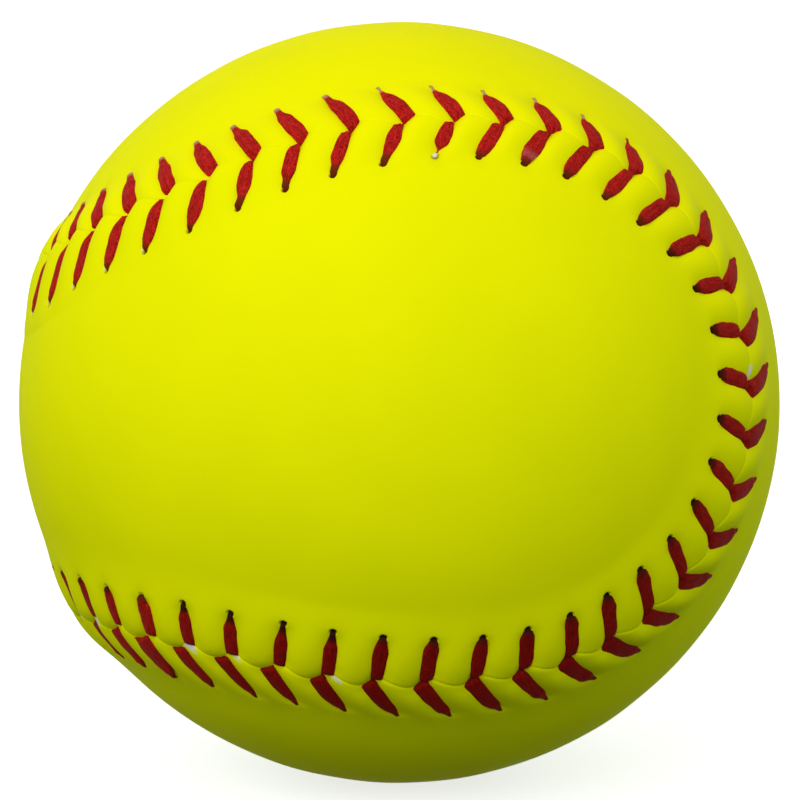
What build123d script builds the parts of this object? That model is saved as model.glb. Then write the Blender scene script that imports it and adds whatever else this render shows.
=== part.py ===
from build123d import *
from itertools import pairwise
from math import acos, asin, atan, atan2, cos, degrees, hypot, pi, radians, sin, sqrt
import os

# Ball, in millimetres
ball_circumference = 304.8
cover_thickness = 1.6
cement_film = 0.15

# Seam: the width across a panel's neck, the straight runs between its lobes, and the raised ridge
neck_width = 46.1
flank_length = 33.2
ridge_width = 17.6
ridge_height = 1.1
edge_roll = 1.0

# Stitching: the holes lie inside the foot of the ridge, and each leg leans forward along the seam
stitch_count = 82
hole_margin = 1.7
front_leg_advance = 2.7
back_leg_advance = 4.3

# Waxed thread: flat and full over the cover, drawn in to a neck in the holes and under the cover
thread_width = 1.7
thread_thickness = 0.7
neck_thread_width = 0.8
neck_thread_thickness = 0.5
thread_clearance = 0.08
tail_gap = 0.6

# How the ball is turned, in degrees, so that a lobe of the front panel faces -Y
seam_lean = -11.1
seam_tilt = 85.3
seam_turn = -133.7

# Layers, and the two sides of the seam
ball_centre = (0, 0, 0)
ball_radius = ball_circumference / (2 * pi)
lining_radius = ball_radius - cover_thickness
core_radius = lining_radius - cement_film
crown_radius = ball_radius + ridge_height
front_side = -1
back_side = 1

# The seam is four lobe arcs joined by four straight flanks, worked out on a ball of radius 1
neck_angle = asin(neck_width / 2 / ball_radius)
flank_angle = flank_length / ball_radius
lobe_angle = atan((sqrt(2) * cos(flank_angle / 2) - sin(neck_angle)) / cos(neck_angle))
lobe_rise = pi / 2 - neck_angle - lobe_angle
lobe_reach = cos(lobe_rise) / sqrt(2)
lobe_axis = Vector(lobe_reach, lobe_reach, sin(lobe_rise))
lobe_tip = Vector(sin(neck_angle) / sqrt(2), sin(neck_angle) / sqrt(2), cos(neck_angle))
lobe_bearing = atan2(sin(lobe_rise), lobe_reach)
flank_slope = lobe_bearing + acos(-sin(lobe_angle) / hypot(lobe_reach, sin(lobe_rise)))
flank_pole = Vector(0, cos(flank_slope), sin(flank_slope))
flank_middle = Vector(1, 0, 0)
flank_end = (lobe_axis + flank_pole * sin(lobe_angle)).normalized()
flank_turn = degrees(flank_angle)
flank_start = flank_end.rotate(Axis(ball_centre, flank_pole), -flank_turn)
lobe_middle = lobe_axis * cos(lobe_angle)
lobe_turn = 2 * (flank_end - lobe_middle).get_angle(lobe_tip - lobe_middle)
lobe_length = ball_radius * sin(lobe_angle) * radians(lobe_turn)
seam_length = 4 * (flank_length + lobe_length)
stitch_pitch = seam_length / stitch_count

# The seam's own frame, turned into the ball's attitude
seam_frame = Plane(Location(ball_centre, (seam_lean, seam_tilt, seam_turn)))
half_turn = Axis(ball_centre, seam_frame.from_local_coords(flank_middle))


# The next quarter of the seam is the last one turned and mirrored, which swaps the two panels
def next_quarter(direction):
    return Vector(-direction.Y, direction.X, -direction.Z)


# Every arc of the seam: where it starts, the pole it turns about, how far, and its length
seam_arcs = []
flank = (flank_start, flank_pole, flank_turn, flank_length)
lobe = (flank_end, -lobe_axis, lobe_turn, lobe_length)
for quarter in range(4):
    for start, pole, turn, length in (flank, lobe):
        placed = [seam_frame.from_local_coords(direction) for direction in (start, pole)]
        seam_arcs.append((*placed, turn, length))
    flank = (next_quarter(flank[0]), -next_quarter(flank[1]), flank_turn, flank_length)
    lobe = (next_quarter(lobe[0]), -next_quarter(lobe[1]), lobe_turn, lobe_length)


# Directions along the seam, across it and out of the ball, part way along an arc and beside it
def arc_directions(arc, share, offset):
    start, pole, turn, length = arc
    out = start.rotate(Axis(ball_centre, pole), turn * share)
    along = pole.cross(out).normalized()
    across = out.cross(along)
    slant = offset / ball_radius
    return along, across * cos(slant) - out * sin(slant), out * cos(slant) + across * sin(slant)


# The same, at a distance along the whole seam from the middle of its first flank
def seam_directions(distance, offset):
    left = (distance + flank_length / 2) % seam_length
    for arc in seam_arcs:
        if left <= arc[3]:
            break
        left -= arc[3]
    return arc_directions(arc, left / arc[3], offset)


# A point of a section across the seam, by its offset along the ball and its radius
def at(offset, radius):
    return (radius * sin(offset / ball_radius), radius * cos(offset / ball_radius))


# Room for the thread: round the rolled edges, in the slit, in the holes and in the channel under them
ridge_foot = ridge_width / 2
hole_setback = ridge_foot - hole_margin
bend_radius = (edge_roll + thread_clearance) / cos(pi / 8)
slit_half = bend_radius - edge_roll + neck_thread_thickness / 2
roll_offset = slit_half + edge_roll
roll_radius = crown_radius - edge_roll
hole_radius = (hypot(neck_thread_width, neck_thread_thickness) / 2 + thread_clearance) / cos(pi / 6)
under_sag = (hole_setback**2 + stitch_pitch**2) / (8 * lining_radius)
channel_radius = lining_radius + under_sag + neck_thread_thickness + 2 * thread_clearance
channel_half = hole_setback + hole_radius + edge_roll

# The ridge rises from the ball in a hollow arc and rounds over into its crown in an equal one
ridge_run = (ridge_foot - roll_offset) / 2
ridge_arc = (ridge_run**2 + (ridge_height / 2) ** 2) / ridge_height
ridge_middle = roll_offset + ridge_run


def ridge_top(offset):
    if offset >= ridge_foot:
        return ball_radius
    if offset >= ridge_middle:
        return ball_radius + ridge_arc - sqrt(ridge_arc**2 - (ridge_foot - offset) ** 2)
    return crown_radius - ridge_arc + sqrt(ridge_arc**2 - (offset - roll_offset) ** 2)


# The sewn edge of the front panel: ridge, rolled edge, slit wall, and the channel under it
def edge_faces(arc):
    start, pole, turn, length = arc
    along = pole.cross(start)
    with BuildLine(Plane(ball_centre, x_dir=start.cross(along), z_dir=along)) as edge:
        hollow = TangentArc(
            at(-ridge_foot, ball_radius),
            at(-ridge_middle, (ball_radius + crown_radius) / 2),
            tangent=(cos(ridge_foot / ball_radius), sin(ridge_foot / ball_radius)),
        )
        crown = TangentArc(hollow @ 1, at(-roll_offset, crown_radius), tangent=hollow % 1)
        roll = ThreePointArc(
            crown @ 1,
            at(-roll_offset + edge_roll * cos(pi / 4), roll_radius + edge_roll * sin(pi / 4)),
            at(-slit_half, roll_radius),
        )
        slit = Line(roll @ 1, at(-slit_half, channel_radius))
        channel_middle = at(-channel_half / 2, channel_radius)
        ceiling = ThreePointArc(slit @ 1, channel_middle, at(-channel_half, channel_radius))
        Line(ceiling @ 1, at(-channel_half, lining_radius))
    return Shell.revolve(edge.wire(), turn, Axis(ball_centre, pole)).faces()


# The part of a sphere inside a line that runs beside the seam, on the front side of it
def panel_face(radius, offset):
    with BuildLine() as boundary:
        for arc in seam_arcs:
            outs = [arc_directions(arc, share, front_side * offset)[2] for share in (0, 0.5, 1)]
            ThreePointArc(*[out * radius for out in outs])
    across_lobes = Plane(
        ball_centre,
        x_dir=seam_frame.from_local_coords(Vector(0, 0, 1)),
        z_dir=seam_frame.from_local_coords(Vector(1, -1, 0)),
    )
    sphere = across_lobes.location * Sphere(radius, mode=Mode.PRIVATE)
    return sphere.face().split_by_perimeter(boundary.wire(), Keep.INSIDE)


# Upright planes at the stitch holes of one panel
def hole_planes(side):
    planes = []
    for stitch in range(stitch_count):
        along, across, out = seam_directions(stitch * stitch_pitch, side * hole_setback)
        planes.append(Plane(out * lining_radius, x_dir=along, z_dir=out))
    return planes


with BuildPart() as core:
    Sphere(core_radius)

panel_skin = [panel_face(ball_radius, ridge_foot), panel_face(lining_radius, channel_half)]
for arc in seam_arcs:
    panel_skin += edge_faces(arc)

with BuildPart() as punched_panel:
    add(Solid(Shell(panel_skin)))
    with BuildSketch(*hole_planes(front_side)):
        RegularPolygon(hole_radius, 6)
    extrude(amount=crown_radius - core_radius, both=True, mode=Mode.SUBTRACT)

# The panel is what is left when any plug that stays in a hole is dropped
with BuildPart() as front_panel:
    add(punched_panel.solids().sort_by(SortBy.VOLUME)[-1])

with BuildPart() as back_panel:
    add(front_panel.part.rotate(half_turn, 180))

# Heights of the thread's middle: under the cover, leaving a hole, and over the ridge
under_radius = channel_radius - thread_clearance - neck_thread_thickness / 2
leg_lift = thread_clearance + (hole_setback / 2) ** 2 / (8 * ridge_arc)
rim_radius = ridge_top(hole_setback) + leg_lift + neck_thread_thickness / 2
leg_radius = ridge_top(hole_setback / 2) + leg_lift + thread_thickness / 2
leg_advance = {front_side: front_leg_advance, back_side: back_leg_advance}


# Corners of a section of thread beside the seam, heading level to the seam at 0 and straight out at 90
def thread_section(distance, side, offset, radius, heading, width, thickness):
    along, across, out = seam_directions(distance, side * offset)
    path = out * sin(radians(heading)) - across * (side * cos(radians(heading)))
    plane = Plane(out * radius, x_dir=along, z_dir=path)
    corners = [(width, thickness), (-width, thickness), (-width, -thickness), (width, -thickness)]
    return [plane.from_local_coords((x / 2, y / 2)) for x, y in corners]


# One stitch: up through its hole, over the ridge, round the rolled edge and down the slit
def stitch_sections(stitch, side):
    hole = stitch * stitch_pitch
    slit = hole + leg_advance[side]
    middle = (hole + slit) / 2
    neck = neck_thread_width
    mitre = neck_thread_thickness * sqrt(2)
    shoulder = bend_radius + thread_thickness / 2
    bend = (bend_radius + (thread_thickness + neck_thread_thickness) / 4) * cos(pi / 4)
    bend_width = (thread_width + neck_thread_width) / 2
    bend_thickness = (thread_thickness + neck_thread_thickness) / 2
    return [
        thread_section(hole, side, hole_setback, under_radius, 135, neck, mitre),
        thread_section(hole, side, hole_setback, rim_radius, 45, neck, mitre),
        thread_section(middle, side, hole_setback / 2, leg_radius, 0, thread_width, thread_thickness),
        thread_section(slit, side, roll_offset, roll_radius + shoulder, 0, bend_width, thread_thickness),
        thread_section(slit, side, roll_offset - bend, roll_radius + bend, -45, neck, bend_thickness),
        thread_section(slit, side, 0, roll_radius, -90, neck, neck_thread_thickness),
        thread_section(slit, side, 0, under_radius, -45, neck, mitre),
    ]


# One needle's thread: it changes sides at every stitch, and its two tails meet under the cover
def thread_sections(first_side):
    tail = under_radius - under_sag, 180, neck_thread_width, neck_thread_thickness
    middle = hole_setback / 2
    before = -stitch_pitch / 2
    sections = [thread_section(before, first_side, middle + tail_gap / 2, *tail)]
    for stitch in range(stitch_count):
        sections += stitch_sections(stitch, first_side * (-1) ** stitch)
    sections.append(thread_section(before, first_side, middle - tail_gap / 2, *tail))
    return sections


# The thread's skin: flat sides from each section to the next, and the two cut ends
def thread_skin(first_side):
    sections = thread_sections(first_side)
    skin = [Face(Wire.make_polygon(sections[0])), Face(Wire.make_polygon(sections[-1]))]
    for near, far in pairwise(sections):
        for corner in range(4):
            near_edge = Edge.make_line(near[corner - 1], near[corner])
            far_edge = Edge.make_line(far[corner - 1], far[corner])
            skin.append(Face.make_surface_from_curves(near_edge, far_edge))
    return skin


with BuildPart() as needle_one_thread:
    add(Solid(Shell(thread_skin(back_side))))

with BuildPart() as needle_two_thread:
    add(Solid(Shell(thread_skin(front_side))))

os.makedirs("parts", exist_ok=True)
pieces = {
    "core": core,
    "front_panel": front_panel,
    "back_panel": back_panel,
    "needle_one_thread": needle_one_thread,
    "needle_two_thread": needle_two_thread,
}
for name, piece in pieces.items():
    piece.part.label = name
    export_step(piece.part, f"parts/{name}.step")
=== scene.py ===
import math

import bpy
import numpy as np
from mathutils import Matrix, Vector
from mathutils.geometry import delaunay_2d_cdt


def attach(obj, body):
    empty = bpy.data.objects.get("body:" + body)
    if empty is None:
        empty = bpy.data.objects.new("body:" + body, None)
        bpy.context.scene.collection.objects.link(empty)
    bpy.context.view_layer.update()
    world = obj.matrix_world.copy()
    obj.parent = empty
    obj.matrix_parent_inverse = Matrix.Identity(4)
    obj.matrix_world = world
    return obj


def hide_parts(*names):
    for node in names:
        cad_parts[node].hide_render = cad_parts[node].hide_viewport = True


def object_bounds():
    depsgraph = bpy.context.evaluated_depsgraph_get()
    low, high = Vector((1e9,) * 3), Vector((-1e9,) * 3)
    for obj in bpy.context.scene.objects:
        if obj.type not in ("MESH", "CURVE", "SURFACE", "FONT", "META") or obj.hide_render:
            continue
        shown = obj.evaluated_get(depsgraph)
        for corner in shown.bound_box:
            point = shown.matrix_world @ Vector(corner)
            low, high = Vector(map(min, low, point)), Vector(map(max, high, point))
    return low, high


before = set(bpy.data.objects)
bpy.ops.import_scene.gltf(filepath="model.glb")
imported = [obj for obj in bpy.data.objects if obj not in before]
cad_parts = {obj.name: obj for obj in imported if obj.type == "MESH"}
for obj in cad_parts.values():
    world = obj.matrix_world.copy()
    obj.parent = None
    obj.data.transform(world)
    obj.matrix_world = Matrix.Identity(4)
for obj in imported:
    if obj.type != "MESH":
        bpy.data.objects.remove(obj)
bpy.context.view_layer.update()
print("stage: frame loaded")

# lengths are in millimetres until a mesh is made
perMetre = 1000
front, back = -1, 1  # the sides of the seam, and the panels that lie there
phaseSpan = 6.3  # about a full turn
rng = np.random.RandomState(12)


def unit(vector):
    return vector / np.linalg.norm(vector, axis=-1, keepdims=True)


def smoothStep(low, high, value):
    share = np.clip((value - low) / (high - low), 0, 1)
    return share * share * (3 - 2 * share)


def turnMatrix(lean, tilt, turn):
    a, b, c = (math.radians(angle) for angle in (lean, tilt, turn))
    aboutX = np.array([[1, 0, 0], [0, math.cos(a), -math.sin(a)], [0, math.sin(a), math.cos(a)]])
    aboutY = np.array([[math.cos(b), 0, math.sin(b)], [0, 1, 0], [-math.sin(b), 0, math.cos(b)]])
    aboutZ = np.array([[math.cos(c), -math.sin(c), 0], [math.sin(c), math.cos(c), 0], [0, 0, 1]])
    return aboutX @ aboutY @ aboutZ


def spin(vector, pole, angle):
    cosine, sine = np.cos(angle)[..., None], np.sin(angle)[..., None]
    along = np.sum(vector * pole, -1, keepdims=True)
    return vector * cosine + np.cross(pole, vector) * sine + pole * along * (1 - cosine)


# a smooth curve through knots that repeats over a period
def repeating(knots, period, softness, samples=400):
    places = np.arange(samples) / samples * period
    laps = [(place + lap * period, value) for lap in (-1, 0, 1) for place, value in knots]
    values = np.interp(places, [place for place, value in laps], [value for place, value in laps])
    reach = np.arange(-samples // 4, samples // 4 + 1) * period / samples
    blur = np.exp(-0.5 * (reach / softness) ** 2)
    values = np.convolve(np.tile(values, 3), blur / blur.sum(), mode="same")[samples : 2 * samples]
    places, values = np.append(places, period), np.append(values, values[0])
    return lambda place: np.interp(place % period, places, values)


# seam: four straight flanks joined by four lobe arcs, with the ball's turn to the camera
seam = {
    "ballRadius": 48.5104,
    "neckWidth": 46.1,
    "flankLength": 33.2,
    "stitches": 82,
    "lean": -11.1,
    "tilt": 85.3,
    "turn": -133.7,
}
radius = seam["ballRadius"]
seamTurn = turnMatrix(seam["lean"], seam["tilt"], seam["turn"])
neckAngle = math.asin(seam["neckWidth"] / 2 / radius)
flankAngle = seam["flankLength"] / radius
lobeAngle = math.atan((math.sqrt(2) * math.cos(flankAngle / 2) - math.sin(neckAngle)) / math.cos(neckAngle))
lobeRise = math.pi / 2 - neckAngle - lobeAngle
lobeReach = math.cos(lobeRise) / math.sqrt(2)
lobeAxis = np.array([lobeReach, lobeReach, math.sin(lobeRise)])
neckShare = math.sin(neckAngle) / math.sqrt(2)
lobeTip = np.array([neckShare, neckShare, math.cos(neckAngle)])
flankSlope = math.atan2(math.sin(lobeRise), lobeReach)
flankSlope += math.acos(-math.sin(lobeAngle) / math.hypot(lobeReach, math.sin(lobeRise)))
flankPole = np.array([0, math.cos(flankSlope), math.sin(flankSlope)])
flankEnd = unit(lobeAxis + flankPole * math.sin(lobeAngle))
flankStart = spin(flankEnd, flankPole, np.array(-flankAngle))
lobeMiddle = lobeAxis * math.cos(lobeAngle)
lobeTurn = 2 * math.acos(np.dot(unit(flankEnd - lobeMiddle), unit(lobeTip - lobeMiddle)))
lobeLength = radius * math.sin(lobeAngle) * lobeTurn


# a quarter turn with a flip takes the seam onto itself
def quarterTurn(vector):
    return np.array([-vector[1], vector[0], -vector[2]])


arcs = []
flank, lobe = (flankStart, flankPole), (flankEnd, -lobeAxis)
for quarter in range(4):
    arcs.append((*flank, flankAngle, seam["flankLength"]))
    arcs.append((*lobe, lobeTurn, lobeLength))
    flank, lobe = ((quarterTurn(start), -quarterTurn(pole)) for start, pole in (flank, lobe))
arcStart = np.array([seamTurn @ arc[0] for arc in arcs])
arcPole = np.array([seamTurn @ arc[1] for arc in arcs])
arcTurn = np.array([arc[2] for arc in arcs])
arcLength = np.array([arc[3] for arc in arcs])
arcEnd = np.cumsum(arcLength)
seamLength = arcEnd[-1]
pitch = seamLength / seam["stitches"]
print("stage: seam", round(seamLength, 1), "mm long, a stitch every", round(pitch, 2), "mm")


# direction out of the ball beside the seam, and how much the seam stretches there
def seamAt(distance, offset):
    left = (distance + seam["flankLength"] / 2) % seamLength
    arc = np.minimum(np.searchsorted(arcEnd, left, side="right"), len(arcs) - 1)
    share = (left - arcEnd[arc] + arcLength[arc]) / arcLength[arc]
    pole = arcPole[arc]
    out = spin(arcStart[arc], pole, arcTurn[arc] * share)
    along = unit(np.cross(pole, out))
    slant = (offset / radius)[..., None]
    beside = out * np.cos(slant) + np.cross(out, along) * np.sin(slant)
    stretch = np.linalg.norm(np.cross(pole, beside), axis=-1) / np.linalg.norm(np.cross(pole, out), axis=-1)
    return beside, stretch


# signed distance of any direction from the seam
def seamOffset(directions):
    farAway, slack = 1e9, 1e-6
    nearest = np.full(len(directions), farAway)
    for start, pole, turn in zip(arcStart, arcPole, arcTurn):
        startFlat = start - pole * np.dot(start, pole)
        flat = directions - np.outer(directions @ pole, pole)
        angle = np.arctan2(np.cross(startFlat, flat) @ pole, flat @ startFlat) % (2 * math.pi)
        offset = (math.acos(np.dot(start, pole)) - np.arccos(np.clip(directions @ pole, -1, 1))) * radius
        better = (angle <= turn + slack) & (np.abs(offset) < np.abs(nearest))
        nearest = np.where(better, offset, nearest)
    return nearest


# hand stitching, which the cover and the threads share
stitch = {
    "holeRow": 7.1,  # the row of the mesh that the holes lie on
    "holeRadius": {front: 0.47, back: 0.24},
    "holeDepth": {front: 1.3, back: 0.1},
    "holeEdge": (0.45, 1.1),  # in hole radii
    # painted shade down in the holes: its reach in hole radii, and how strong on each side
    "holeShade": (0.75, 1.2),
    "holeTone": {front: 1.0, back: 0.5},
    # sideways steps of the seam line along one stitch, and where the leather stops following them
    "wander": ((1.05, -0.5), (1.5, -0.66), (3.0, -0.73), (3.4, -0.5), (4.2, 0.15), (4.8, 0.36), (5.7, 0.05)),
    "wanderReach": (0.3, 6.0),
    "neck": 3.45,  # where the two legs meet in that line
    # by stitch number, twice round the ball: how far the holes lie from the seam
    "setback": {
        front: (
            (0, 6.55), (1, 6.0), (2, 6.0), (3, 6.4), (4, 6.55), (5, 6.95), (6, 7.1), (7, 6.9),
            (8, 6.2), (9, 6.05), (10, 6.7), (12, 7.05), (14, 7.55), (15, 7.65), (17, 7.2), (18, 6.65),
            (19, 6.65), (21, 7.5), (22, 7.55), (23, 7.5), (24, 7.0), (25, 7.1), (26, 6.4), (27, 6.3),
            (30, 6.8), (32, 8.6), (33, 8.6), (34, 7.85), (36, 7.35), (38, 6.85), (40, 6.8),
        ),
        back: (
            (0, 7.3), (1, 6.9), (2, 6.0), (3, 6.6), (5, 6.5), (6, 7.4), (8, 7.6), (9, 9.2),
            (10, 9.9), (11, 6.8), (12, 7.4), (13, 6.3), (17, 6.3), (18, 7.2), (20, 6.8),
            (22, 5.9), (24, 6.9), (27, 6.4), (33, 5.6), (36, 7.0),
        ),
    },
    # how far along the seam each leg meets it
    "advance": {
        front: (
            (0, 2.9), (3, 2.7), (5, 2.2), (9, 2.3), (10, 2.8), (12, 3.3), (14, 3.8), (16, 3.9), (17, 3.1),
            (20, 2.8), (22, 2.3), (24, 1.8), (25, 1.35), (26, 1.5), (28, 1.5), (30, 2.3), (33, 3.1),
            (35, 3.0), (38, 2.6),
        ),
        back: (
            (0, 4.2), (2, 3.6), (3, 3.9), (5, 2.8), (8, 2.8), (9, 3.8), (11, 3.2), (12, 4.2), (15, 4.5),
            (18, 4.1), (19, 3.5), (21, 3.7), (25, 4.0), (27, 3.2), (30, 3.5), (34, 3.9), (37, 4.2),
            (38, 3.3), (40, 3.2),
        ),
    },
    # how far along the seam each hole lies
    "lead": {
        front: (
            (0, -0.4), (1, 0.4), (2, -1.0), (3, -1.1), (5, -0.1), (8, 0.85), (12, 1.45), (14, 2.15),
            (16, 2.85), (17.5, 3.0), (19, 2.0), (22, 1.95), (24, 1.75), (25, 1.25), (28, 0.8), (33, 1.4),
            (36, 0.35), (39, -0.3),
        ),
        back: (
            (0, 1.15), (3, 2.0), (5, 1.1), (8, 1.1), (11, 0.4), (12, 0.9), (14, 0.5), (16, -0.1), (19, -0.8),
            (21, -0.2), (22, 0.2), (23, 0.0), (24, -0.7), (25, 0.9), (26, 1.3), (27, 2.2), (28, 2.6),
            (30, 1.2), (33, 0.4), (37, 0.9), (40, 0.4),
        ),
    },
    # front legs drawn to a point at the seam
    "pointed": ((0, 0.35), (5, 0.2), (17, 0.3), (24, 0.1), (28, 0.2), (31, 1.0), (36, 1.0), (39, 0.5)),
    # by stitch number, once round the ball: how far the seam itself wanders sideways
    "drift": (
        (0, -0.3), (5, -0.9), (8, 0.0), (10, 0.55), (12, 0.3), (15, -0.4), (22, -0.4), (26, -0.1), (31, -0.2),
        (36, -0.4), (46, -0.7), (51, 0.3), (56, -0.6), (66, -0.8), (69, -1.8), (71, -2.0), (73, -1.0),
        (75, -0.3),
    ),
    # how deep the legs sink between the pillows
    "sink": (
        (0, 0.0), (9, 0.0), (12, 0.1), (25, 0.1), (26, -0.25), (27, 0.05), (28, 0.2), (29, 0.2), (30, 0.36),
        (31, 0.3), (33, 0.22), (36, 0.1), (66, 0.1), (69, 0.25), (71, 0.36), (72, 0.3), (73, 0.08), (76, 0.0),
    ),
    # runs of stitches, as the first one and how many
    "closedHoles": (26, 6),
    "bareHoles": (73, 5),
    "fingerTips": (79, 4),
    "sharpTips": (71, 8),
    "tailTips": (22, 4),
    "paleTips": (73, 14),
    "thinTips": (0, 6),
    # how far the holes of two of these runs are closed
    "closing": {"closedHoles": 0.85, "tailTips": 0.25},
    "tuft": 1,  # the stitch with a tuft of backing in its hole
    "waxy": 3,  # and the one with a lump of wax
}
halfRound = seam["stitches"] / 2
wanderAt = repeating(stitch["wander"], pitch, softness=0.3)
driftAt = repeating(stitch["drift"], seam["stitches"], softness=1.2)
sinkAt = repeating(stitch["sink"], seam["stitches"], softness=0.3)
pointedAt = repeating(stitch["pointed"], halfRound, softness=1.0)
setbackAt, advanceAt, leadAt = (
    {side: repeating(knots, halfRound, softness=0.5) for side, knots in stitch[label].items()}
    for label in ("setback", "advance", "lead")
)


# whether a stitch is one of a run
def among(number, run):
    first, count = stitch[run]
    return (number - first) % seam["stitches"] < count


# sideways place of the seam line, which steps over at each crossing of legs
def lineAt(distance):
    number = (distance - stitch["neck"]) / pitch
    shift = (advanceAt[front](number) + advanceAt[back](number)) / 2 - stitch["neck"]
    return wanderAt(distance - shift)


def wanderFade(width):
    return 1 - smoothStep(*stitch["wanderReach"], width)


# cover panels
cover = {
    "ridgeWidth": 17.6,
    "ridgeHeight": 1.1,
    "ridgeCrown": 1.2,  # where the crown turns over into the seam
    # how much wider the raised edge runs, by stitch number
    "spread": {
        front: (
            (0, 1.05), (8, 1.1), (13, 1.38), (26, 1.38), (29, 1.3), (32, 1.2),
            (36, 1.05), (66, 1.1), (69, 1.35), (72, 1.35), (75, 1.1),
        ),
        back: (
            (0, 1.0), (10, 1.0), (14, 1.25), (24, 1.25), (27, 1.35),
            (30, 1.4), (33, 1.1), (37, 1.0), (74, 1.0),
        ),
    },
    "rollWidth": 0.7,
    "rollDepth": 0.24,
    "wallDepth": 1.7,
    # pillows between the stitches
    "relief": 1.05,
    "reliefReach": (3.4, 10.0),
    "reliefOpens": (5.8, 8.2),  # where the creases widen
    "reliefCrease": 0.1,
    "reliefRound": 0.42,
    # the sewn edges press into each other, and each leg pulls a notch in them
    "overlap": 0.17,
    "overlapReach": 0.7,
    "notchWidth": 0.9,
    "facingNotchWidth": 1.05,
    "notchPull": 0.3,
    "notchDepth": 0.22,
    "notchReach": 1.2,
    # both edges come level at the seam
    "levelShare": 0.4,
    "levelReach": 0.9,
    "tuftHeight": 1.75,
    "unevenness": 0.03,
    "waves": 14,
    "waveRates": (14, 42),
    # mesh: rows lie close round the holes, and follow the stitching up to the fade
    "closeRows": (6.2, 8.0),
    "rowCounts": (7, 17, 13),  # of the rolled edge, the slope and the close rows
    "outerStep": 0.2,
    "outerGrowth": 1.2,
    "followFade": (7.8, 12.9),
    "stripWidth": 13.4,
    "fillSpacing": 1.5,
    "fillGap": 0.6,  # in spacings
    # pale backing that shows at stitches of the back panel, and how much of it
    "bareEdge": {10: 0.8, 22: 0.45, 24: 0.38, 25: 1.0, 28: 1.0, 29: 0.7},
    "bareStrength": 1.5,
    "bareAlong": -2.6,
    "bareLength": 1.25,
    "bareWidth": (0.3, 1.1),
    # and slivers of it beside holes of the front panel
    "sliverPlace": (-0.5, -0.25),
    "sliverSize": (0.18, 0.45),
    "sliverEdge": (0.4, 1.2),
    "sliverStrength": 0.58,
    # finish
    "valleyReach": (5.5, 9.0),
    "wallShade": (-0.6, -1.2),
    "colour": (0.905, 0.885, 0.0),
    "shade": (0.87, 0.865, 0.0),
    "mottleScale": 60,
    # painted shade in the creases beside the legs
    "paintedValleyShade": (0.55, 0.50, 0.01),
    "valleyStrength": 0.25,
    "backing": (0.80, 0.74, 0.60),
    "bareFade": (0.25, 0.75),
    # painted shade in the holes
    "paintedHoleShade": (0.10, 0.035, 0.006),
    "grainScale": 1500,
    "poreScale": 4200,
    "poreShare": 0.4,
    "roughness": (0.5, 0.68),
    "bump": 0.25,
    "bumpDepth": 0.00006,  # metres
    "specular": 0.008,
}
spreadAt = {
    side: repeating(knots, seam["stitches"], softness=0.8) for side, knots in cover["spread"].items()
}
waveAxes = unit(rng.normal(size=(cover["waves"], 3)))
waveRates = rng.uniform(*cover["waveRates"], cover["waves"])
wavePhases = rng.uniform(0, phaseSpan, cover["waves"])


def unevenAt(directions):
    waves = np.sin(directions @ waveAxes.T * waveRates + wavePhases)
    return np.sum(waves, -1) * cover["unevenness"] / 4  # the sum of the waves seldom passes 4


def ridgeAt(width):
    return cover["ridgeHeight"] * (1 - smoothStep(cover["ridgeCrown"], cover["ridgeWidth"] / 2, width))


# valleys under the legs, with a pillow of leather between two of them
def reliefAt(beside, width):
    depth = cover["relief"] * (1 - smoothStep(*cover["reliefReach"], width))
    crease = cover["reliefCrease"]
    soft = crease + (1 - crease) * smoothStep(*cover["reliefOpens"], width)
    wave = (np.sin(math.pi * beside / pitch) ** 2 + soft**2) / (1 + soft**2)
    return depth * (wave ** cover["reliefRound"] - 1)


def addMesh(name, points, faces, attributes):
    mesh = bpy.data.meshes.new(name)
    mesh.from_pydata((points / perMetre).tolist(), [], faces)
    mesh.polygons.foreach_set("use_smooth", np.ones(len(mesh.polygons), bool))
    for label, values in attributes.items():
        layer = mesh.attributes.new(label, "FLOAT", "POINT")
        layer.data.foreach_set("value", np.ascontiguousarray(values, np.float32).ravel())
    mesh.update()
    piece = bpy.data.objects.new(name, mesh)
    bpy.context.scene.collection.objects.link(piece)
    return piece


# faces turned to look out of the ball
def outward(points, faces):
    corners = points[np.array([face[:3] for face in faces])]
    normals = np.cross(corners[:, 1] - corners[:, 0], corners[:, 2] - corners[:, 0])
    facing = np.sum(normals * corners[:, 0], -1)
    return [face if good else face[::-1] for face, good in zip(faces, facing > 0)]


# places across one stitch, close together at the leg
legEdge = 1.85
legSteps = np.concatenate([np.arange(-0.9, 0.91, 0.15), [1.2, 1.5, legEdge]])
gapSteps = np.linspace(legEdge, pitch - legEdge, 6)[1:]
besideSteps = np.concatenate([legSteps, gapSteps, [pitch - 1.5, pitch - 1.2]])


def growingSteps(first, last, step, growth):
    steps = [first]
    while steps[-1] < last:
        steps.append(steps[-1] + step)
        step *= growth
    steps = np.array(steps)
    return steps - (steps - first) / (steps[-1] - first) * (steps[-1] - last)


# rows of the strip beside the seam: two down the wall, the rolled edge, then out over the ridge
def panelRows():
    rollCount, slopeCount, closeCount = cover["rowCounts"]
    turn = np.radians(np.linspace(0, 90, rollCount))
    closeStart, closeEnd = cover["closeRows"]
    outer = growingSteps(closeEnd, cover["stripWidth"], cover["outerStep"], cover["outerGrowth"])
    widths = np.concatenate(
        [
            [0, 0],
            cover["rollWidth"] * (1 - np.cos(turn)),
            np.linspace(cover["rollWidth"], closeStart, slopeCount)[1:],
            np.linspace(closeStart, closeEnd, closeCount)[1:],
            outer[1:],
        ]
    )
    drops = np.zeros(len(widths))
    drops[:2] = -cover["wallDepth"], -(cover["wallDepth"] + cover["rollDepth"]) / 2
    drops[2 : 2 + rollCount] = -cover["rollDepth"] * (1 - np.sin(turn))
    return widths, drops


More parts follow.
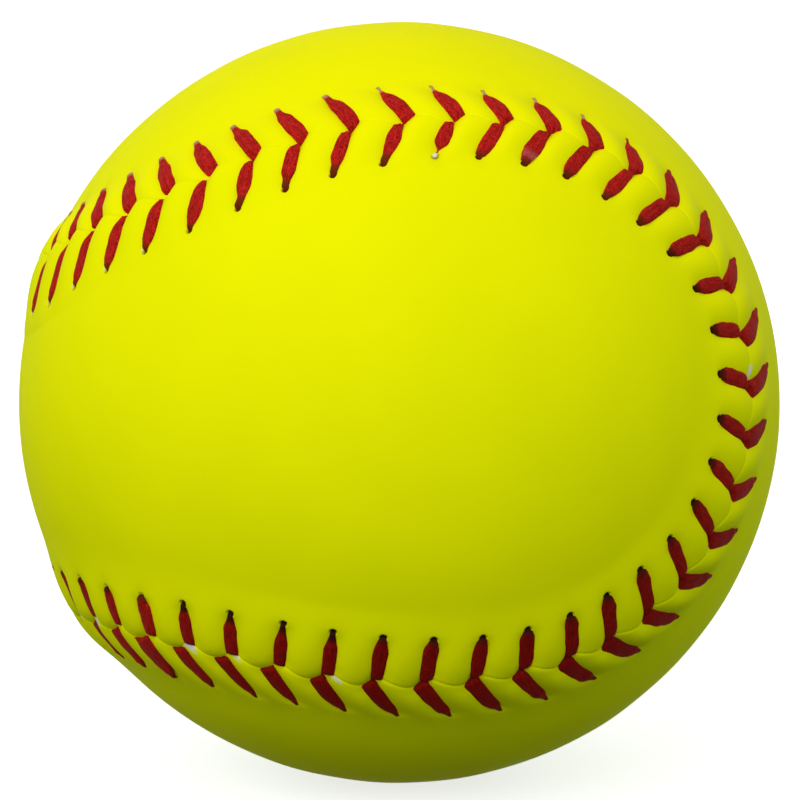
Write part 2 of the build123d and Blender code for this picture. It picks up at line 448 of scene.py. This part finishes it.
# even triangles inside the strip, found on a flat map of the panel
def fillPanel(points, rim, side):
    evenArea, anyWay, tolerance = 0.866, [0.3, 0.5, 0.8], 1e-9
    count = int(4 * math.pi * radius**2 / (evenArea * cover["fillSpacing"] ** 2))
    step = np.arange(count) + 0.5
    tall = 1 - 2 * step / count
    around = step * math.pi * (3 - math.sqrt(5))
    level = np.sqrt(1 - tall**2)
    even = np.stack([level * np.cos(around), level * np.sin(around), tall], -1)
    inner = even[side * seamOffset(even) > cover["stripWidth"] + cover["fillGap"] * cover["fillSpacing"]]
    middle = seamTurn @ np.array([0, 0, 1.0])
    middle = middle * np.sign(seamOffset(middle[None])[0]) * side
    first = unit(np.cross(middle, anyWay))
    second = np.cross(middle, first)
    both = np.concatenate([unit(points[rim]), inner])
    flat = np.stack([both @ first, both @ second], -1) / (1 + both @ middle)[:, None]
    loop = flat[: len(rim)]
    area = np.sum(loop[:, 0] * np.roll(loop[:, 1], -1) - loop[:, 1] * np.roll(loop[:, 0], -1))
    ring = list(range(len(rim)))[:: 1 if area > 0 else -1]
    made = delaunay_2d_cdt([Vector(point) for point in flat], [], [ring], 1, tolerance)
    source = [entry[0] for entry in made[3]]
    toPoint = np.concatenate([rim, len(points) + np.arange(len(inner))])
    return inner, [[int(toPoint[source[index]]) for index in face] for face in made[2]]


# where the pale backing shows on top of the leather
def bareAt(side, number, beside, width, setback):
    if side == front:
        (sliverAlong, sliverOut), (sliverLength, sliverWidth) = cover["sliverPlace"], cover["sliverSize"]
        sliver = np.hypot((beside - sliverAlong) / sliverLength, (width - setback - sliverOut) / sliverWidth)
        shown = 1 - smoothStep(*cover["sliverEdge"], sliver)
        return cover["sliverStrength"] * shown * among(number, "bareHoles")
    bare = 0
    for bareStitch, amount in cover["bareEdge"].items():
        along = np.exp(-(((beside - cover["bareAlong"]) / cover["bareLength"]) ** 2)) * (number == bareStitch)
        bare = bare + cover["bareStrength"] * amount * along * (1 - smoothStep(*cover["bareWidth"], width))
    return bare


def buildPanel(name, side):
    widths, drops = panelRows()
    row, drop = widths[:, None], drops[:, None]
    beside = np.tile(besideSteps, seam["stitches"])[None, :]
    number = np.repeat(np.arange(seam["stitches"]), len(besideSteps))[None, :] + (beside > pitch / 2)
    beside = np.where(beside > pitch / 2, beside - pitch, beside)
    place = number + beside / pitch
    # columns of the strip run along the legs
    setback, advance = setbackAt[side](place), advanceAt[side](place)
    outer = smoothStep(*cover["followFade"], row)
    width = row * (1 + (setback / stitch["holeRow"] - 1) * (1 - outer))
    reach = np.clip(row / stitch["holeRow"], 0, 1)
    lead = leadAt[side](place) * (1 - outer)
    distance = number * pitch + beside + advance * (1 - reach) + lead * reach
    drift = driftAt(distance / pitch) * (1 - outer)
    legSlope = np.cos(np.arctan2(advance - lead, setback))
    toLeg = beside * np.where(row < stitch["holeRow"], legSlope, 1)
    notch = np.exp(-((toLeg / cover["notchWidth"]) ** 2))
    pull = cover["notchPull"] * notch**2 - cover["overlap"]
    edge = width + pull * np.exp(-width / cover["overlapReach"])
    out, stretch = seamAt(distance, side * edge + lineAt(distance) * wanderFade(width) + drift)
    hole = np.hypot(beside * stretch, width - setback) / stitch["holeRadius"][side]
    openness = 1
    for run, amount in stitch["closing"].items():
        openness = openness - amount * among(number, run)
    pit = (1 - smoothStep(*stitch["holeEdge"], hole)) * openness
    tuft = pit * (number % seam["stitches"] == stitch["tuft"]) * (side == front)
    # height over the ball, level with the other panel at the seam
    level = cover["levelShare"] * np.exp(-((width / cover["levelReach"]) ** 2))
    facing = (distance - advanceAt[-side](place) + pitch / 2) % pitch - pitch / 2
    facingNotch = np.exp(-((facing / cover["facingNotchWidth"]) ** 2))
    relief = reliefAt(beside, row) * (1 - level) + reliefAt(facing, row) * level
    pressed = cover["notchDepth"] * (notch * (1 - level) + facingNotch * level)
    height = ridgeAt(row / spreadAt[side](place)) + relief + drop
    height = height - pressed * np.exp(-((width / cover["notchReach"]) ** 2))
    height = height - stitch["holeDepth"][side] * pit + cover["tuftHeight"] * tuft + unevenAt(out)
    points = (out * (radius + height)[..., None]).reshape(-1, 3)
    corner = np.arange(height.size).reshape(height.shape)
    following = np.roll(corner, -1, 1)
    quads = np.stack([corner[:-1], following[:-1], following[1:], corner[1:]], -1).reshape(-1, 4).tolist()
    inner, triangles = fillPanel(points, corner[-1], side)
    points = np.concatenate([points, inner * (radius + unevenAt(inner))[:, None]])
    faces = outward(points, quads) + outward(points, triangles)
    # painted shade down in the holes, less in holes drawn shut
    holeShade = (1 - smoothStep(*stitch["holeShade"], hole)) * openness * stitch["holeTone"][side]
    marks = {
        # painted shade in the creases beside the legs
        "valley": notch * (1 - smoothStep(*cover["valleyReach"], width)),
        "pit": holeShade,
        "backing": smoothStep(*cover["wallShade"], drop),
        "bare": np.clip(tuft + bareAt(side, number, beside, width, setback), 0, 1),
    }
    plain = np.zeros(len(inner))
    attributes = {
        label: np.concatenate([np.broadcast_to(values, height.shape).ravel(), plain])
        for label, values in marks.items()
    }
    return addMesh(name, points, faces, attributes)


frontPanel = buildPanel("cover_front", front)
backPanel = buildPanel("cover_back", back)
print("stage: cover panels", len(frontPanel.data.vertices), len(backPanel.data.vertices))

# threads
thread = {
    # sections of a leg by its share of the way from hole to seam: first, last and how many
    "tipSections": (-0.06, 0.16, 8),
    "legSections": (0.2, 1.26, 23),
    "aroundSteps": 26,
    # half widths at these shares of the way, for legs of the front and then of the back panel
    "marks": (-0.06, 0, 0.09, 0.2, 0.36, 0.55, 0.8, 1, 1.26),
    "shapes": {
        "front": (0.34, 0.45, 0.60, 0.82, 1.01, 1.06, 0.90, 0.68, 0.5),
        "finger": (0.42, 0.46, 0.47, 0.54, 0.95, 1.06, 0.90, 0.68, 0.5),
        "sharp": (0.20, 0.28, 0.44, 0.72, 1.00, 1.06, 0.90, 0.68, 0.5),
        "tail": (0.27, 0.33, 0.40, 0.60, 0.90, 1.02, 1.02, 0.95, 0.7),
        "back": (0.12, 0.18, 0.33, 0.64, 0.96, 1.12, 1.08, 0.94, 0.7),
        "thin": (0.10, 0.13, 0.15, 0.40, 0.90, 1.12, 1.08, 0.94, 0.7),
        "broad": (0.32, 0.38, 0.42, 0.62, 0.96, 1.12, 1.08, 0.94, 0.7),
    },
    # how full the thread is, by stitch number and twice round the ball
    "fullness": {
        front: (
            (0, 0.97), (2, 0.97), (3, 1.22), (5, 1.1), (8, 1.0), (10, 1.25), (15, 1.28), (18, 1.26),
            (19, 1.12), (21, 1.0), (24, 0.97), (27, 1.12), (33, 1.2), (36, 1.16), (38, 1.0),
        ),
        back: (
            (0, 1.12), (3, 1.2), (5, 1.12), (7, 1.2), (10, 1.3), (15, 1.3), (18, 1.2), (25, 1.15),
            (26, 1.9), (27, 1.3), (28, 1.25), (33, 1.2), (36, 1.1), (38, 1.0), (40, 1.02),
        ),
    },
    "fullnessSpread": 0.05,
    "spreadLimit": 1.5,
    "waviness": 0.05,
    "waveRates": (9, 16),
    "pointedShare": 0.75,
    "pointedReach": (0.5, 0.98),
    "pinch": 0.12,  # the leg at the tuft is thin here
    "pinchReach": (0.16, 0.34),
    "bow": 0.14,
    "halfThickness": 0.42,
    "thickFrom": 0.8,  # legs narrower than this are thinner too
    "thinnest": 0.25,
    "lift": 0.26,
    "flatness": 0.8,
    "strands": 9,
    "strandDepth": 0.05,
    "strandTwist": 5.0,
    # legs dive into the seam and into their holes
    "seamDive": 1.9,
    "seamDiveReach": (-0.6, 0.3),
    "holeDive": 1.3,
    "holeDiveEnd": {front: 0.06, back: 0.01},
    "holeDiveLength": 0.13,
    # finish: dark tips, which are painted shade where the thread goes into its hole, pale tips and waxed tips
    # end at these shares of the way
    "tipEnd": 0.155,
    "longTipEnd": 0.26,
    "tipFade": 0.15,
    "backTip": 0.5,
    "paleEnd": 0.10,
    "thinPaleEnd": 0.17,
    "paleFade": 0.07,
    "waxPlace": 0.2,
    "waxLength": 0.09,
    # painted shade on the thread, darker on the stitches that lie low on the ball, by stitch number
    "paintedShade": (
        (0, 0.0), (4, 0.05), (8, 0.2), (12, 0.45), (16, 0.62), (24, 0.62), (26, 0.1), (28, 0.45), (30, 0.35),
        (36, 0.2), (66, 0.2), (72, 0.05), (76, 0.0),
    ),
    "paintedShadeSpread": 0.08,
    "colour": (0.64, 0.020, 0.016),
    "dark": (0.21, 0.003, 0.0012),
    "paintedShadeColour": (0.13, 0.002, 0.001),
    # painted shade at the hole ends of the legs, deeper on the low stitches
    "tip": (0.15, 0.021, 0.004),
    "paintedShadeTip": (0.022, 0.006, 0.002),
    "tipStrength": 0.95,
    "pale": (0.52, 0.29, 0.14),
    "fibreStretch": 0.3,
    "fibreShift": 40.0,  # so that no two legs have the same fibres
    "fineScale": 9.0,
    "wideScale": 2.6,
    "fineShare": 0.7,
    "wideShare": 0.3,
    "darkFade": (0.38, 0.62),
    "tipShadeFade": (0.0, 0.3),
    "roughness": (0.5, 0.75),
    "waxRoughness": 0.08,
    "bump": 0.8,
    "bumpDepth": 0.00008,  # metres
    "specular": 0.025,
}
paintedShadeAt = repeating(thread["paintedShade"], seam["stitches"], softness=0.6)
fullnessAt = {side: repeating(knots, halfRound, softness=0.5) for side, knots in thread["fullness"].items()}


# every other leg of one needle lies on the front panel
def buildThread(name, firstSide):
    count = seam["stitches"]
    number = np.arange(count)
    side = firstSide * np.where(number % 2 == 0, 1, -1)
    isFront = (side == front)[:, None]

    def bySide(curves):
        return np.where(isFront, curves[front](number)[:, None], curves[back](number)[:, None])

    share = np.concatenate([np.linspace(*thread["tipSections"]), np.linspace(*thread["legSections"])])
    angle = -math.pi / 2 + np.arange(thread["aroundSteps"]) / thread["aroundSteps"] * 2 * math.pi
    isFinger, isSharp, isTail, isThin, isPale = (
        among(number, run)[:, None] for run in ("fingerTips", "sharpTips", "tailTips", "thinTips", "paleTips")
    )
    # how wide each leg is, and how thick
    shapes = {label: np.interp(share, thread["marks"], halves) for label, halves in thread["shapes"].items()}
    frontKinds = [shapes["finger"], shapes["sharp"], shapes["tail"]]
    frontShape = np.select([isFinger, isSharp, isTail], frontKinds, shapes["front"])
    backShape = np.select([isThin, isPale], [shapes["thin"], shapes["broad"]], shapes["back"])
    pointed = pointedAt(number)[:, None] * thread["pointedShare"] * smoothStep(*thread["pointedReach"], share)
    half = np.where(isFront, frontShape * (1 - pointed), backShape) * bySide(fullnessAt)
    uneven = rng.normal(size=(count, 1)).clip(-thread["spreadLimit"], thread["spreadLimit"])
    half = half * (1 + thread["fullnessSpread"] * uneven)
    waves = rng.uniform(*thread["waveRates"], (count, 1)) * share + phaseSpan * rng.rand(count, 1)
    half = half * (1 + thread["waviness"] * np.sin(waves))
    pinched = thread["pinch"] + (1 - thread["pinch"]) * smoothStep(*thread["pinchReach"], share)
    half = np.where(isFront & (number == stitch["tuft"])[:, None], half * pinched, half)
    thick = thread["halfThickness"] * np.clip(half / thread["thickFrom"], thread["thinnest"], 1)
    # the middle line of each leg, then the section round it
    advance, lead, setback = (bySide(curves) for curves in (advanceAt, leadAt, setbackAt))
    bow = thread["bow"] * rng.normal(size=(count, 1)) * np.sin(math.pi * np.clip(share, 0, 1))
    distance = number[:, None] * pitch + advance * share + lead * (1 - share) + bow
    offset = side[:, None] * (setback * (1 - share)) + driftAt(distance / pitch)
    run = np.hypot(advance - lead, setback)
    stretch = seamAt(distance, offset)[1]
    sideways = side[:, None] * setback / run / stretch
    acrossWays = (advance - lead) / run
    strandAngle = thread["strands"] * angle[None, None, :] + thread["strandTwist"] * share[None, :, None]
    swell = 1 + thread["strandDepth"] * np.cos(strandAngle + phaseSpan * rng.rand(count, 1, 1))
    level = half[..., None] * np.cos(angle) * swell
    lifted = thick[..., None] * np.sign(np.sin(angle)) * np.abs(np.sin(angle)) ** thread["flatness"] * swell
    distanceAll = distance[..., None] + level * sideways[..., None]
    offsetAll = offset[..., None] + level * acrossWays[..., None]
    # height over the ball, in the valley of the cover
    seamLine = lineAt(distanceAll) * wanderFade(np.abs(offsetAll)) + driftAt(distanceAll / pitch)
    own = side[:, None, None] * (offsetAll - seamLine)
    row = stitch["holeRow"] * np.maximum(1 - share, 0)[None, :]
    lift = thread["lift"] * thick / thread["halfThickness"] - sinkAt(number)[:, None]
    base = ridgeAt(row / bySide(spreadAt)) + reliefAt(0 * row, row) + lift
    height = base[..., None] + lifted - thread["seamDive"] * (1 - smoothStep(*thread["seamDiveReach"], own))
    diveEnd = np.where(isFront, thread["holeDiveEnd"][front], thread["holeDiveEnd"][back])
    inHole = 1 - smoothStep(diveEnd - thread["holeDiveLength"], diveEnd, share)
    height = height - thread["holeDive"] * inHole[..., None]
    out = seamAt(distanceAll, offsetAll)[0]
    points = (out * (radius + height)[..., None]).reshape(-1, 3)
    corner = np.arange(height.size).reshape(height.shape)
    following = np.roll(corner, -1, 2)
    quads = np.stack([corner[:, :-1], following[:, :-1], following[:, 1:], corner[:, 1:]], -1)
    quads = np.where((side == front)[:, None, None, None], quads, quads[..., ::-1])
    # what the finish reads
    # painted shade: the low stitches darker, with a little random tone per leg on top
    paintedShade = paintedShadeAt(number) + rng.uniform(-thread["paintedShadeSpread"], thread["paintedShadeSpread"], count)
    # dark tips: painted shade where the leg goes down into its hole
    tipEnd = np.where(isFront & (isFinger | isTail), thread["longTipEnd"], thread["tipEnd"])
    tip = 1 - smoothStep(tipEnd - thread["tipFade"], tipEnd, share)
    tip = tip * np.where(isFront, 1, thread["backTip"])
    paleEnd = np.where(isThin, thread["thinPaleEnd"], thread["paleEnd"])
    paleTip = (~isFront & isPale) * (1 - smoothStep(paleEnd - thread["paleFade"], paleEnd, share))
    waxed = np.exp(-(((share - thread["waxPlace"]) / thread["waxLength"]) ** 2))
    wax = (isFront & (number == stitch["waxy"])[:, None]) * waxed
    marks = {
        "fibreAlong": (run * share[None, :])[..., None] + thread["fibreShift"] * number[:, None, None],
        "fibreAround": level,
        "tone": np.clip(paintedShade, 0, 1)[:, None, None],
        "tip": tip[..., None],
        "wax": wax[..., None],
        "paleTip": paleTip[..., None],
    }
    attributes = {label: np.broadcast_to(values, height.shape) for label, values in marks.items()}
    return addMesh(name, points, quads.reshape(-1, 4).tolist(), attributes)


threadOne = buildThread("thread_one", back)
threadTwo = buildThread("thread_two", front)
print("stage: stitches", len(threadOne.data.vertices), len(threadTwo.data.vertices))

for piece, node, slot in (
    (frontPanel, "front_panel", "cover"),
    (backPanel, "back_panel", "cover"),
    (threadOne, "needle_one_thread", "thread"),
    (threadTwo, "needle_two_thread", "thread"),
):
    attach(piece, "root")
    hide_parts(node)


def addNode(tree, kind, sockets=None, **settings):
    node = tree.nodes.new(kind)
    for key, value in settings.items():
        setattr(node, key, value)
    for label, value in (sockets or {}).items():
        node.inputs[label].default_value = value
    return node


# gives an input a link, a colour or a number
def feed(tree, socket, value):
    if isinstance(value, bpy.types.NodeSocket):
        tree.links.new(value, socket)
    else:
        socket.default_value = (*value, 1) if isinstance(value, tuple) else value


def newGroup(name, inputs, outputs):
    tree = bpy.data.node_groups.new(name, "ShaderNodeTree")
    for way, labels in (("INPUT", inputs), ("OUTPUT", outputs)):
        for label in labels:
            kind = "NodeSocketColor" if label in ("Colour", "Shade") else "NodeSocketFloat"
            tree.interface.new_socket(label, in_out=way, socket_type=kind)
    given = tree.nodes.new("NodeGroupInput").outputs if inputs else {}
    return tree, given, tree.nodes.new("NodeGroupOutput").inputs


def mixColour(tree, factor, first, second):
    node = addNode(tree, "ShaderNodeMix", data_type="RGBA")
    for place, value in ((0, factor), (6, first), (7, second)):  # its sockets for colours
        feed(tree, node.inputs[place], value)
    return node.outputs[2]


def mathNode(tree, operation, first, second):
    node = addNode(tree, "ShaderNodeMath", operation=operation)
    for socket, value in zip(node.inputs, (first, second)):
        feed(tree, socket, value)
    return node.outputs[0]


def noise(tree, vector, scale, detail, roughness=0.5):
    node = addNode(tree, "ShaderNodeTexNoise", sockets={"Detail": detail, "Roughness": roughness})
    feed(tree, node.inputs["Vector"], vector)
    feed(tree, node.inputs["Scale"], scale)
    return node.outputs["Fac"]


def remap(tree, value, low, high, start=0.0, end=1.0):
    limits = {"From Min": low, "From Max": high, "To Min": start, "To Max": end}
    node = addNode(tree, "ShaderNodeMapRange", sockets=limits, interpolation_type="SMOOTHSTEP")
    feed(tree, node.inputs["Value"], value)
    return node.outputs["Result"]


def attribute(tree, label):
    return addNode(tree, "ShaderNodeAttribute", attribute_name=label).outputs["Fac"]


noiseMiddle = 0.3, 0.7  # most of what a noise texture puts out


# cloudy patches of a second tone, for the cover and the foam
def mottleGroup():
    tree, given, made = newGroup("mottle", ["Colour", "Shade", "Scale"], ["Colour", "Amount"])
    place = addNode(tree, "ShaderNodeTexCoord").outputs["Object"]
    amount = remap(tree, noise(tree, place, given["Scale"], detail=3), *noiseMiddle)
    feed(tree, made["Colour"], mixColour(tree, amount, given["Colour"], given["Shade"]))
    feed(tree, made["Amount"], amount)
    return tree


def coverGroup():
    tree, given, made = newGroup("coverSkin", ["Colour"], ["Colour", "Roughness", "Height"])
    place = addNode(tree, "ShaderNodeTexCoord").outputs["Object"]
    grain = noise(tree, place, cover["grainScale"], detail=4, roughness=0.6)
    pores = noise(tree, place, cover["poreScale"], detail=2)
    # painted shade in the creases beside the legs
    valley = mathNode(tree, "MULTIPLY", attribute(tree, "valley"), cover["valleyStrength"])
    colour = mixColour(tree, valley, given["Colour"], cover["paintedValleyShade"])
    colour = mixColour(tree, attribute(tree, "backing"), colour, cover["backing"])
    # painted shade down in the holes
    colour = mixColour(tree, attribute(tree, "pit"), colour, cover["paintedHoleShade"])
    bare = remap(tree, attribute(tree, "bare"), *cover["bareFade"])
    colour = mixColour(tree, bare, colour, cover["backing"])
    feed(tree, made["Colour"], colour)
    feed(tree, made["Roughness"], remap(tree, grain, *noiseMiddle, *cover["roughness"]))
    poreHeight = mathNode(tree, "MULTIPLY", pores, cover["poreShare"])
    feed(tree, made["Height"], mathNode(tree, "ADD", grain, poreHeight))
    return tree


def threadGroup():
    tree, _, made = newGroup("threadFibre", [], ["Colour", "Roughness", "Height", "Wax"])
    place = addNode(tree, "ShaderNodeCombineXYZ")
    stretched = mathNode(tree, "MULTIPLY", attribute(tree, "fibreAlong"), thread["fibreStretch"])
    feed(tree, place.inputs["X"], stretched)
    feed(tree, place.inputs["Y"], attribute(tree, "fibreAround"))
    fine = noise(tree, place.outputs[0], thread["fineScale"], detail=4, roughness=0.6)
    wide = noise(tree, place.outputs[0], thread["wideScale"], detail=2)
    fineTone = mathNode(tree, "MULTIPLY", fine, thread["fineShare"])
    tone = mathNode(tree, "ADD", fineTone, mathNode(tree, "MULTIPLY", wide, thread["wideShare"]))
    # painted shade: darker thread and darker hole ends on the low stitches
    paintedShade = attribute(tree, "tone")
    colour = mixColour(tree, remap(tree, tone, *thread["darkFade"]), thread["dark"], thread["colour"])
    colour = mixColour(tree, paintedShade, colour, thread["paintedShadeColour"])
    paintedTipShade = remap(tree, paintedShade, *thread["tipShadeFade"])
    tipColour = mixColour(tree, paintedTipShade, thread["tip"], thread["paintedShadeTip"])
    # the dark tip is painted shade of the hole
    tip = mathNode(tree, "MULTIPLY", attribute(tree, "tip"), thread["tipStrength"])
    colour = mixColour(tree, tip, colour, tipColour)
    colour = mixColour(tree, attribute(tree, "paleTip"), colour, thread["pale"])
    feed(tree, made["Colour"], colour)
    feed(tree, made["Roughness"], remap(tree, fine, *noiseMiddle, *thread["roughness"]))
    feed(tree, made["Height"], fine)
    feed(tree, made["Wax"], attribute(tree, "wax"))
    return tree


# core, which keeps its own solid
core = {
    "colour": (0.74, 0.66, 0.46),
    "shade": (0.62, 0.53, 0.34),
    "mottleScale": 90,
    "cellScale": 900,
    "roughness": (0.7, 0.9),
    "bump": 0.3,
    "bumpDepth": 0.0001,  # metres
    "specular": 0.1,
}


def foamGroup():
    tree, given, made = newGroup("foamCells", ["Colour", "Amount"], ["Colour", "Roughness", "Height"])
    place = addNode(tree, "ShaderNodeTexCoord").outputs["Object"]
    cells = addNode(tree, "ShaderNodeTexVoronoi", sockets={"Scale": core["cellScale"]})
    feed(tree, cells.inputs["Vector"], place)
    low, high = core["roughness"]
    feed(tree, made["Colour"], given["Colour"])
    rougher = mathNode(tree, "MULTIPLY", given["Amount"], high - low)
    feed(tree, made["Roughness"], mathNode(tree, "ADD", rougher, low))
    feed(tree, made["Height"], cells.outputs["Distance"])
    return tree


mottle = mottleGroup()


def surface(name, group, finish):
    material = bpy.data.materials.new(name)
    material.use_nodes = True
    tree = material.node_tree
    shader = tree.nodes["Principled BSDF"]
    effect = addNode(tree, "ShaderNodeGroup", node_tree=group)
    if "mottleScale" in finish:
        patches = addNode(tree, "ShaderNodeGroup", node_tree=mottle)
        for label, key in (("Colour", "colour"), ("Shade", "shade"), ("Scale", "mottleScale")):
            feed(tree, patches.inputs[label], finish[key])
        for socket in effect.inputs:
            feed(tree, socket, patches.outputs[socket.name])
    depth = {"Strength": finish["bump"], "Distance": finish["bumpDepth"]}
    relief = addNode(tree, "ShaderNodeBump", sockets=depth)
    feed(tree, relief.inputs["Height"], effect.outputs["Height"])
    feed(tree, shader.inputs["Base Color"], effect.outputs["Colour"])
    feed(tree, shader.inputs["Roughness"], effect.outputs["Roughness"])
    feed(tree, shader.inputs["Normal"], relief.outputs["Normal"])
    feed(tree, shader.inputs["Specular IOR Level"], finish["specular"])
    if "Wax" in effect.outputs:
        feed(tree, shader.inputs["Coat Weight"], effect.outputs["Wax"])
        feed(tree, shader.inputs["Coat Roughness"], finish["waxRoughness"])
    return material


coverMaterial = surface("softCover", coverGroup(), cover)
threadMaterial = surface("waxedThread", threadGroup(), thread)
foamMaterial = surface("coreFoam", foamGroup(), core)
for piece in (frontPanel, backPanel):
    piece.data.materials.append(coverMaterial)
for piece in (threadOne, threadTwo):
    piece.data.materials.append(threadMaterial)
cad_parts["core"].data.materials.clear()
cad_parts["core"].data.materials.append(foamMaterial)
print("stage: materials")

# floor, which takes the ball's shadow but throws no light back at it
ground = {"halfSize": 6, "colour": (0.7, 0.7, 0.7), "roughness": 0.9, "glow": 0.72}  # size in metres
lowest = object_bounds()[0].z
size = ground["halfSize"]
floorMesh = bpy.data.meshes.new("floor")
floorCorners = [(-size, -size, lowest), (size, -size, lowest), (size, size, lowest), (-size, size, lowest)]
floorMesh.from_pydata(floorCorners, [], [(0, 1, 2, 3)])
floor = bpy.data.objects.new("floor", floorMesh)
bpy.context.scene.collection.objects.link(floor)
floor.visible_diffuse = False
floor.visible_glossy = False
floor.visible_shadow = False
floorMaterial = bpy.data.materials.new("paleFloor")
floorMaterial.use_nodes = True
floorTree = floorMaterial.node_tree
floorShader = floorTree.nodes["Principled BSDF"]
for label, value in (
    ("Base Color", ground["colour"]),
    ("Roughness", ground["roughness"]),
    ("Specular IOR Level", 0.0),
    ("Emission Color", (1.0, 1.0, 1.0)),
    ("Emission Strength", ground["glow"]),
):
    feed(floorTree, floorShader.inputs[label], value)
floorMesh.materials.append(floorMaterial)

# light: a wide soft dome, white to the camera, and one softbox
light = {
    "zenith": (0.59, 0.52, 0.55),
    "horizon": (0.74, 1.01, 0.85),
    "lower": (0.055, 0.062, 0.018),
    "horizonFade": (-0.3, 0.2),
    "zenithFade": (0.1, 0.8),
    "keyAzimuth": -25,
    "keyElevation": 35,
    "keyDistance": 1.0,  # metres, as the size
    "keySize": 0.9,
    "keyWatts": 5.37,
    "keyColour": (1.0, 0.96, 0.96),
}
world = bpy.data.worlds.new("studio")
bpy.context.scene.world = world
world.use_nodes = True
tree = world.node_tree
parts = addNode(tree, "ShaderNodeSeparateXYZ")
feed(tree, parts.inputs[0], addNode(tree, "ShaderNodeTexCoord").outputs["Generated"])
fromBelow = remap(tree, parts.outputs["Z"], *light["horizonFade"])
fromAbove = remap(tree, parts.outputs["Z"], *light["zenithFade"])
dome = mixColour(tree, fromBelow, light["lower"], light["horizon"])
dome = mixColour(tree, fromAbove, dome, light["zenith"])
path = addNode(tree, "ShaderNodeLightPath")
mirrored = mathNode(tree, "MAXIMUM", path.outputs["Is Glossy Ray"], path.outputs["Is Transmission Ray"])
plainView = mathNode(tree, "MAXIMUM", path.outputs["Is Camera Ray"], mirrored)
feed(tree, tree.nodes["Background"].inputs["Color"], mixColour(tree, plainView, dome, (1.0, 1.0, 1.0)))
turn, rise = math.radians(light["keyAzimuth"]), math.radians(light["keyElevation"])
toKey = Vector((math.sin(turn) * math.cos(rise), -math.cos(turn) * math.cos(rise), math.sin(rise)))
keyData = bpy.data.lights.new("softbox", "AREA")
keyData.size = light["keySize"]
keyData.energy = light["keyWatts"]
keyData.color = light["keyColour"]
key = bpy.data.objects.new("softbox", keyData)
bpy.context.scene.collection.objects.link(key)
key.location = toKey * light["keyDistance"]
key.rotation_mode = "QUATERNION"
key.rotation_quaternion = (-toKey).to_track_quat("-Z", "Y")
key.visible_camera = False
print("stage: floor and light")

# camera, with the ball's middle at this pixel of a square picture
view = {
    "distance": 741.7,
    "elevation": 10.0,
    "focalPixels": 5805.0,
    "ballPixel": (399.4, 402.5),
    "picture": 800,
    "sensor": 36,
    "clip": (0.01, 50),  # metres
}
lift = math.radians(view["elevation"])
behind = Vector((0, -math.cos(lift), math.sin(lift)))
upward = Vector((0, math.sin(lift), math.cos(lift)))
rightward = Vector((1, 0, 0))
perPixel = view["distance"] / view["focalPixels"]
half = view["picture"] / 2
aim = rightward * (half - view["ballPixel"][0]) * perPixel + upward * (view["ballPixel"][1] - half) * perPixel
cameraData = bpy.data.cameras.new("camera")
cameraData.sensor_width = view["sensor"]
cameraData.lens = view["focalPixels"] * view["sensor"] / view["picture"]
cameraData.clip_start, cameraData.clip_end = view["clip"]
camera = bpy.data.objects.new("camera", cameraData)
bpy.context.scene.collection.objects.link(camera)
camera.location = behind * view["distance"] / perMetre
camera.rotation_mode = "QUATERNION"
camera.rotation_quaternion = (aim - behind * view["distance"]).to_track_quat("-Z", "Y")
bpy.context.scene.camera = camera
bpy.context.scene.view_settings.view_transform = "Standard"
print("stage: camera")
